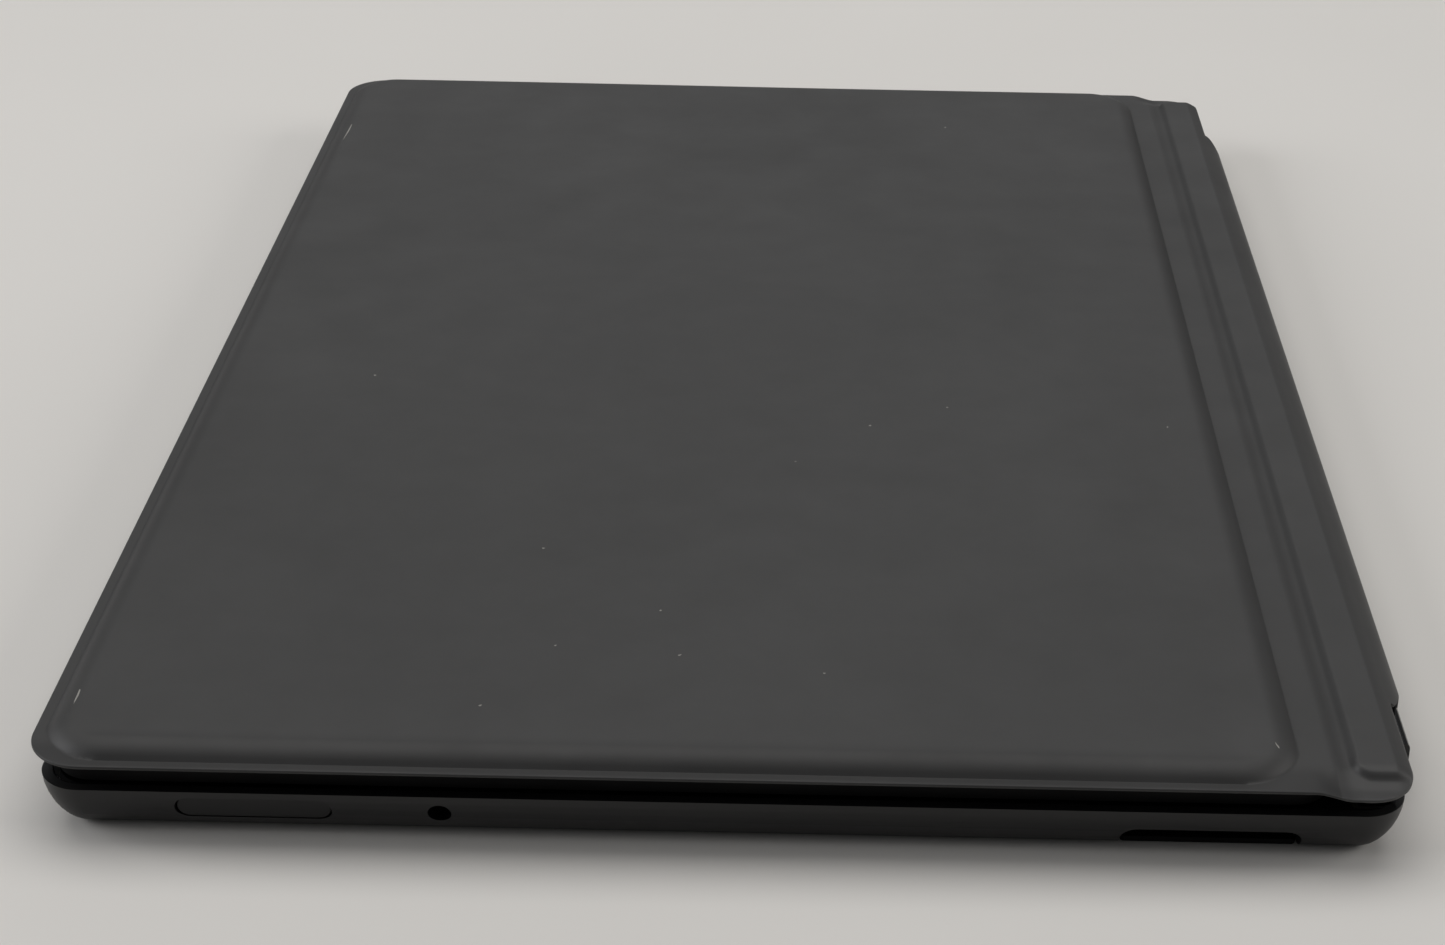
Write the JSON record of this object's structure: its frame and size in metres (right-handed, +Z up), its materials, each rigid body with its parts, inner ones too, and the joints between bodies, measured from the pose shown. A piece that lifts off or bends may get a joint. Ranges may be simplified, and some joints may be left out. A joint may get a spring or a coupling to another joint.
{
  "type": "tablet keyboard case",
  "caption": "Slab tablet with a kickstand, under a detachable folding keyboard cover with a soft dark skin, shut over the screen.",
  "frame": {"origin": "bottom centre of the whole shut footprint, on the plane of the tablet back", "axes": "+X from the tablet top edge towards the hinge edge where the cover spine sits, +Y along the long side from the edge with the volume rocker to the edge with the ports, +Z up through the screen to the cover"},
  "size_m": [0.2062, 0.2944, 0.0155],
  "materials": {
    "satin_alloy": "dark satin coated magnesium alloy",
    "screen_glass": "black-bordered cover glass",
    "dark_plastic": "moulded dark plastic",
    "key_plastic": "fine matt key plastic",
    "gloss_plastic": "glossy black plastic",
    "soft_skin": "soft-touch polyurethane skin, dark grey",
    "lining_fabric": "brushed microfibre lining",
    "steel": "plain",
    "circuit_board": "solder mask",
    "battery_foil": "wrapped foil pouch",
    "copper_sheet": "bare copper",
    "gold_contact": "plated contacts in a moulded block",
    "foam": "thin foam",
    "laminate": "glass-fibre laminate",
    "light_sheet": "white diffuser film"
  },
  "bodies": {
    "tablet": {"rear_housing": "satin_alloy", "front_glass": "screen_glass", "display_panel": "dark_plastic", "mid_frame": "steel", "battery_left": "battery_foil", "battery_right": "battery_foil", "main_board": "circuit_board", "heat_spreader": "copper_sheet", "headset_jack": "dark_plastic", "usb_port": "steel", "display_port": "steel", "charge_port": "dark_plastic", "speaker_left": "dark_plastic", "speaker_right": "dark_plastic", "front_camera": "dark_plastic", "rear_camera": "dark_plastic", "camera_window": "screen_glass", "edge_contact_block": "dark_plastic", "edge_magnet_left": "steel", "edge_magnet_right": "steel", "volume_switch": "circuit_board", "power_switch": "circuit_board", "hinge_bracket_left": "steel", "hinge_bracket_right": "steel", "hinge_pin_left": "steel", "hinge_pin_right": "steel"},
    "kickstand": {"kickstand_plate": "satin_alloy"},
    "volume_rocker": {"volume_rocker": "satin_alloy"},
    "power_button": {"power_button": "satin_alloy"},
    "spine": {"spine_bar": "gloss_plastic", "contact_block": "gold_contact", "guide_pin_left": "steel", "guide_pin_right": "steel", "spine_magnet_left": "steel", "spine_magnet_right": "steel", "fold_skin": "soft_skin"},
    "strip": {"strip_skin": "soft_skin", "strip_stiffener": "laminate", "strip_magnet_left": "steel", "strip_magnet_right": "steel", "strip_lining": "lining_fabric", "groove_skin": "soft_skin"},
    "deck": {"deck_skin": "soft_skin", "stiffener_board": "laminate", "foam_sheet": "foam", "key_frame": "dark_plastic", "key_circuit_sheet": "laminate", "backlight_sheet": "light_sheet", "controller_board": "circuit_board", "palm_lining": "lining_fabric"},
    "touchpad": {"touchpad": "gloss_plastic"},
    "key_row_function": {"key_row_function": "key_plastic"},
    "key_row_number": {"key_row_number": "key_plastic"},
    "key_row_upper": {"key_row_upper": "key_plastic"},
    "key_row_home": {"key_row_home": "key_plastic"},
    "key_row_lower": {"key_row_lower": "key_plastic"},
    "key_row_bottom_left": {"key_row_bottom_left": "key_plastic"},
    "space_bar": {"space_bar": "key_plastic"},
    "key_row_bottom_right": {"key_row_bottom_right": "key_plastic"}
  },
  "joints": [
    {"name": "kickstand_open", "type": "hinge", "parent": "tablet", "child": "kickstand", "pos_m": [-0.00315, 0, 0.0006], "axis": [0, 1, 0], "range_deg": [0, 150]},
    {"name": "cover_detach", "type": "slide", "parent": "tablet", "child": "spine", "axis": [1, 0, 0], "range_m": [0, 0.012]},
    {"name": "strip_fold", "type": "hinge", "parent": "spine", "child": "strip", "pos_m": [0.1009, 0, 0.006], "axis": [0, -1, 0], "range_deg": [-179, 0], "deforming": ["fold_skin"]},
    {"name": "deck_fold", "type": "hinge", "parent": "strip", "child": "deck", "pos_m": [0.09035, 0, 0.0148], "axis": [0, -1, 0], "range_deg": [-179, 0]},
    {"name": "volume_rock", "type": "hinge", "parent": "tablet", "child": "volume_rocker", "pos_m": [-0.06985, -0.143, 0.0054], "axis": [0, 0, 1], "range_deg": [-1.4, 1.4], "stiffness_Nm_per_rad": 1},
    {"name": "power_press", "type": "slide", "parent": "tablet", "child": "power_button", "axis": [1, 0, 0], "range_m": [0, 0.0004], "stiffness_N_per_m": 1500, "springref_m": -0.0006},
    {"name": "touchpad_click", "type": "hinge", "parent": "deck", "child": "touchpad", "pos_m": [-0.03315, 0, 0.0099], "axis": [0, 1, 0], "range_deg": [0, 0.6], "stiffness_Nm_per_rad": 8, "springref_deg": -1.15},
    {"name": "row_function_press", "type": "slide", "parent": "deck", "child": "key_row_function", "axis": [0, 0, 1], "range_m": [0, 0.0011], "stiffness_N_per_m": 600, "springref_m": -0.001},
    {"name": "row_number_press", "type": "slide", "parent": "deck", "child": "key_row_number", "axis": [0, 0, 1], "range_m": [0, 0.0011], "stiffness_N_per_m": 600, "springref_m": -0.001},
    {"name": "row_upper_press", "type": "slide", "parent": "deck", "child": "key_row_upper", "axis": [0, 0, 1], "range_m": [0, 0.0011], "stiffness_N_per_m": 600, "springref_m": -0.001},
    {"name": "row_home_press", "type": "slide", "parent": "deck", "child": "key_row_home", "axis": [0, 0, 1], "range_m": [0, 0.0011], "stiffness_N_per_m": 600, "springref_m": -0.001},
    {"name": "row_lower_press", "type": "slide", "parent": "deck", "child": "key_row_lower", "axis": [0, 0, 1], "range_m": [0, 0.0011], "stiffness_N_per_m": 600, "springref_m": -0.001},
    {"name": "row_bottom_left_press", "type": "slide", "parent": "deck", "child": "key_row_bottom_left", "axis": [0, 0, 1], "range_m": [0, 0.0011], "stiffness_N_per_m": 600, "springref_m": -0.001},
    {"name": "space_bar_press", "type": "slide", "parent": "deck", "child": "space_bar", "axis": [0, 0, 1], "range_m": [0, 0.0011], "stiffness_N_per_m": 600, "springref_m": -0.001},
    {"name": "row_bottom_right_press", "type": "slide", "parent": "deck", "child": "key_row_bottom_right", "axis": [0, 0, 1], "range_m": [0, 0.0011], "stiffness_N_per_m": 600, "springref_m": -0.001}
  ]
}
